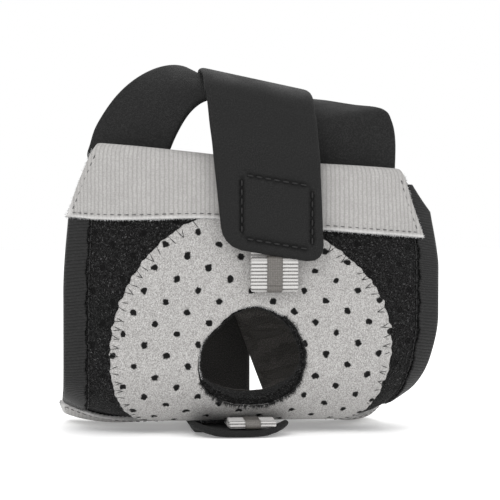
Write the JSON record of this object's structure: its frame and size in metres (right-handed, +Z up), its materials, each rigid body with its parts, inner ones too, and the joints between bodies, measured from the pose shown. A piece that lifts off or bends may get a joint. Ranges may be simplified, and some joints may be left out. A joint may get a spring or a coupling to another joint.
{
  "type": "wrist splint",
  "caption": "Soft wrist splint: curled perforated panel with a round opening, overlapping back flaps, an arched strap and hook-and-loop centre straps with pull tabs.",
  "frame": {"origin": "on the floor plane, under the outer face of the front panel's middle, on the underside of the lower strap", "axes": "+X to the wearer-view right across the panel, +Y from the front panel towards the back flaps, +Z up"},
  "size_m": [0.1078, 0.074, 0.1042],
  "materials": {
    "pile_black": "looped pile knit",
    "fleece_grey": "brushed fleece",
    "trim_grey": "ribbed knit tape",
    "lining_brown_black": "smooth lining",
    "webbing_white": "ribbed webbing",
    "reflector_grey": "reflective tape",
    "hook_black": "moulded hooks",
    "thread_black": "overlock thread",
    "thread_grey": "lockstitch thread",
    "neoprene_black": "matte knit-faced foam"
  },
  "bodies": {
    "front": {"front_neoprene": "neoprene_black", "front_pile_cover": "pile_black", "front_lining": "lining_brown_black", "centre_patch": "fleece_grey", "top_trim": "trim_grey", "bottom_trim": "trim_grey", "top_trim_stitching": "thread_grey", "bottom_trim_stitching": "thread_grey", "left_edge_binding": "thread_black", "right_edge_binding": "thread_black", "arch_strap_left_end": "neoprene_black", "arch_strap_right_end": "neoprene_black", "bottom_strap_sewn_end": "neoprene_black"},
    "outer_flap": {"outer_flap": "neoprene_black"},
    "inner_flap": {"inner_flap": "neoprene_black", "flap_hook_patch": "hook_black"},
    "arch": {"arch_strap": "neoprene_black", "top_strap_fold": "neoprene_black"},
    "top_strap": {"top_strap": "neoprene_black", "top_strap_hook_patch": "hook_black", "top_strap_stitching": "thread_black", "top_tab_root": "webbing_white"},
    "top_tab": {"top_tab": "webbing_white", "top_tab_reflector": "reflector_grey"},
    "bottom_strap": {"bottom_strap": "neoprene_black", "bottom_strap_hook_patch": "hook_black", "bottom_tab_root": "webbing_white"},
    "bottom_tab": {"bottom_tab": "webbing_white", "bottom_tab_reflector": "reflector_grey"}
  },
  "joints": [
    {"name": "outer_flap_open", "type": "hinge", "parent": "front", "child": "outer_flap", "pos_m": [-0.0532, 0.015, 0.04], "axis": [0, 0, 1], "range_deg": [0, 60]},
    {"name": "inner_flap_open", "type": "hinge", "parent": "front", "child": "inner_flap", "pos_m": [0.0532, 0.015, 0.04], "axis": [0, 0, -1], "range_deg": [0, 30]},
    {"name": "arch_swing", "type": "hinge", "parent": "front", "child": "arch", "pos_m": [0, 0.0085, 0.0835], "axis": [-0.9968, 0, 0.0797], "range_deg": [0, 40]},
    {"name": "top_strap_peel", "type": "hinge", "parent": "arch", "child": "top_strap", "pos_m": [0.0045, 0.0047, 0.0986], "axis": [-0.9859, 0, 0.1676], "range_deg": [0, 80]},
    {"name": "top_tab_lift", "type": "hinge", "parent": "top_strap", "child": "top_tab", "pos_m": [0.0061, -0.0044, 0.0498], "axis": [-1, 0, 0], "range_deg": [0, 60]},
    {"name": "bottom_strap_peel", "type": "hinge", "parent": "front", "child": "bottom_strap", "pos_m": [-0.0031, 0.042, 0], "axis": [1, 0, 0], "range_deg": [0, 60]},
    {"name": "bottom_tab_lift", "type": "hinge", "parent": "bottom_strap", "child": "bottom_tab", "pos_m": [0.0003, 0.0092, 0.004], "axis": [-1, 0, 0], "range_deg": [0, 8]}
  ],
  "couplings": [
    {"joint": "inner_flap_open", "follows": "outer_flap_open", "ratio": 0.5}
  ]
}
